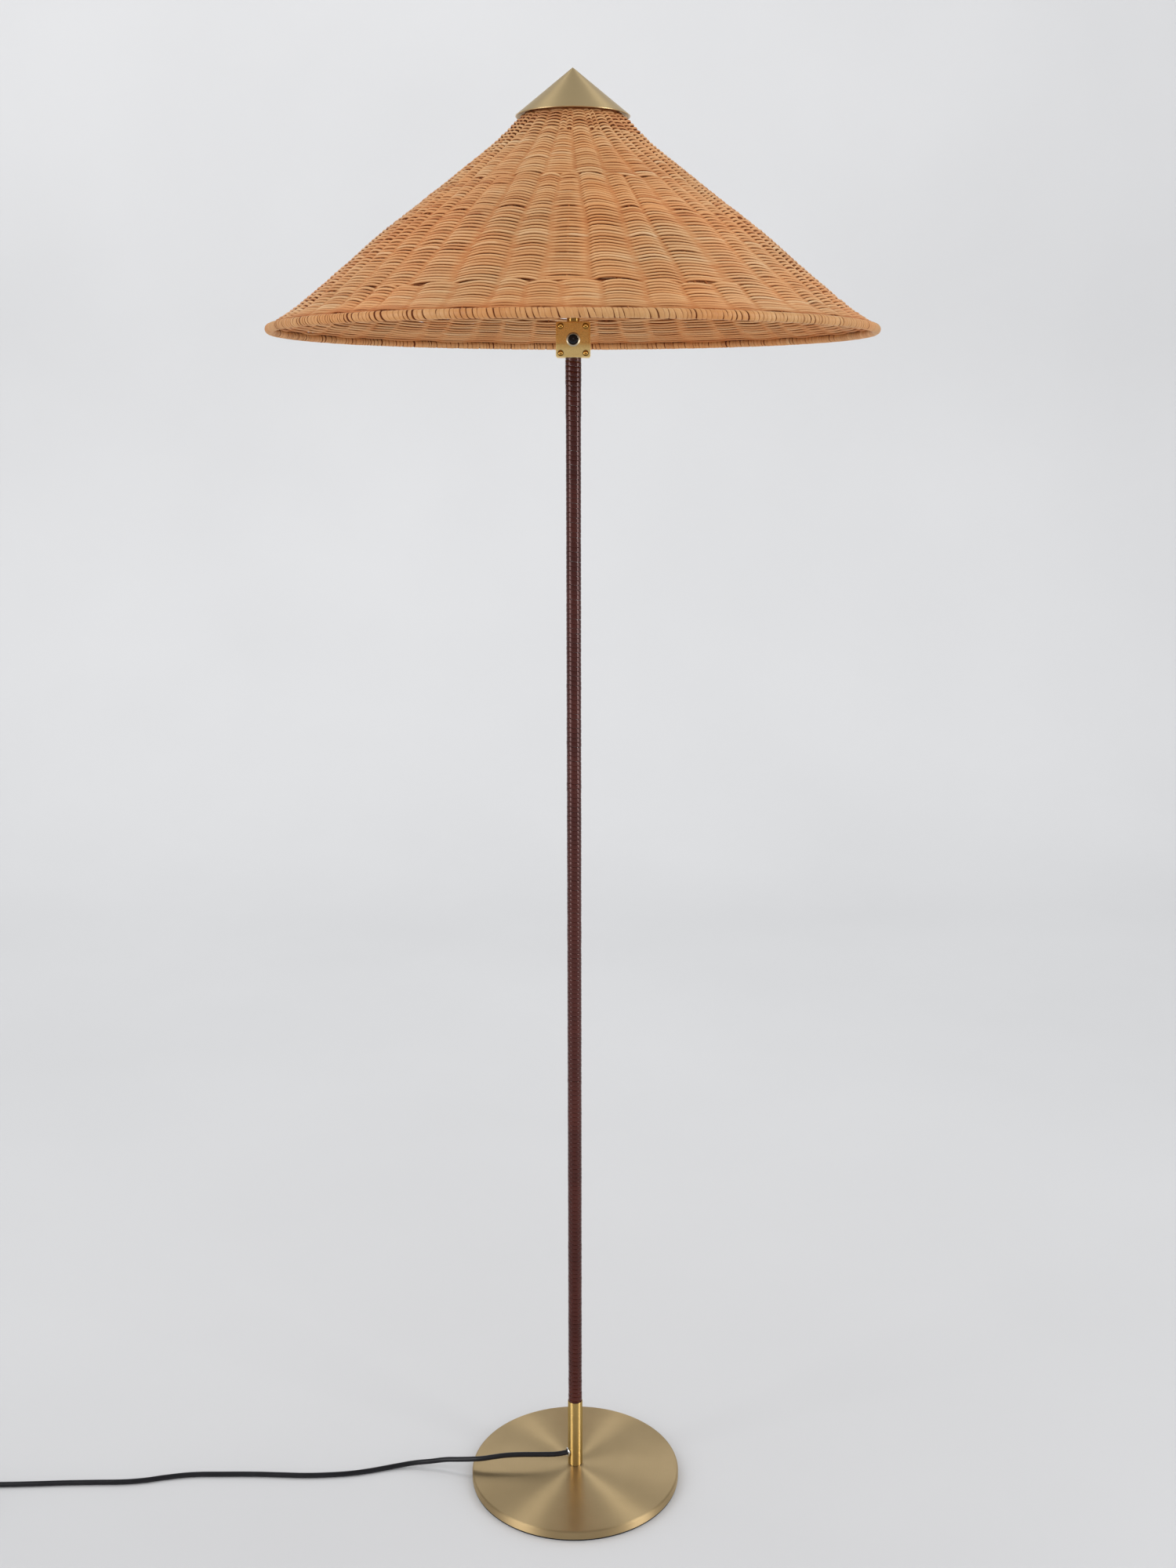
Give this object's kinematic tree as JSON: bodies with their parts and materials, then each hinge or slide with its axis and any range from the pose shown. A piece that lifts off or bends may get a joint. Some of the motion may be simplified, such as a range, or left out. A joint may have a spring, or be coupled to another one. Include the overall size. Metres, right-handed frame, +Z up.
{
  "type": "floor lamp",
  "caption": "Standing lamp with a wide cone shade of woven rattan, a leather-wrapped pole, a heavy disc base and a push button under the shade.",
  "frame": {"origin": "centre of the base's underside, on the floor", "axes": "+Z up along the pole; -Y is the way the push button faces; the cord leaves towards -X"},
  "size_m": [1.0742, 0.6, 1.515],
  "materials": {
    "brass_satin": "satin brushed, clear lacquered",
    "brass_polished": "bright turned",
    "steel_zinc": "zinc plated",
    "nickel": "nickel plated, bright",
    "cast_iron": "as cast, blackened",
    "leather_brown": "dark red-brown, semi-gloss",
    "rattan": "natural rattan core, matt",
    "cane": "split cane skin, slight sheen",
    "rubber_black": "matt",
    "cord_black": "smooth round flex, semi-matt",
    "plastic_black": "moulded, glossy",
    "porcelain": "unglazed white",
    "opal_glass": "opal white, satin"
  },
  "bodies": {
    "stand": {"floor_pad": "rubber_black", "base_cover": "brass_satin", "base_weight": "cast_iron", "base_threaded_tube": "steel_zinc", "base_washer": "steel_zinc", "base_nut": "steel_zinc", "pole_sleeve": "brass_satin", "pole_tube": "steel_zinc", "leather_wrap": "leather_brown", "cord_eyelet": "nickel", "switch_box": "brass_satin", "switch_plate": "brass_satin", "plate_screw_1": "brass_polished", "plate_screw_2": "brass_polished", "plate_screw_3": "brass_polished", "plate_screw_4": "brass_polished", "button_collar": "nickel", "switch_body": "plastic_black", "switch_terminal_left": "brass_polished", "switch_terminal_right": "brass_polished", "switch_lead_left": "cord_black", "switch_lead_right": "cord_black", "neck_tube": "brass_satin", "inner_cable": "cord_black", "harp_saddle": "brass_satin", "holder_nipple": "brass_polished", "holder_nut": "brass_polished", "holder_cup": "brass_satin", "holder_insert": "porcelain", "centre_contact": "brass_polished", "screw_shell": "brass_polished", "holder_skirt": "plastic_black", "harp": "brass_satin", "harp_stud": "brass_polished", "cord": "cord_black", "cord_coil": "cord_black", "coil_tie": "rubber_black", "cord_tail": "cord_black", "plug_sleeve": "cord_black", "plug_body": "plastic_black", "plug_pin_left": "nickel", "plug_pin_right": "nickel"},
    "button": {"switch_button": "plastic_black"},
    "bulb": {"bulb_cap": "nickel", "bulb_glass": "opal_glass"},
    "shade": {"shade_spider": "brass_satin", "shade_weave": "rattan", "rim_hoop": "rattan", "rim_binding": "cane"},
    "cap": {"cap_cone": "brass_satin", "cap_boss": "brass_polished"}
  },
  "joints": [
    {"name": "button_press", "type": "slide", "parent": "stand", "child": "button", "axis": [0, 1, 0], "range_m": [0, 0.0018], "stiffness_N_per_m": 600, "springref_m": -0.0015},
    {"name": "bulb_turn", "type": "hinge", "parent": "stand", "child": "bulb", "pos_m": [0, 0, 1.355], "axis": [0, 0, 1], "continuous": true},
    {"name": "shade_turn", "type": "hinge", "parent": "stand", "child": "shade", "pos_m": [0, 0, 1.4653], "axis": [0, 0, 1], "continuous": true},
    {"name": "cap_unscrew", "type": "slide", "parent": "stand", "child": "cap", "axis": [0, 0, 1], "range_m": [0, 0.02]}
  ]
}
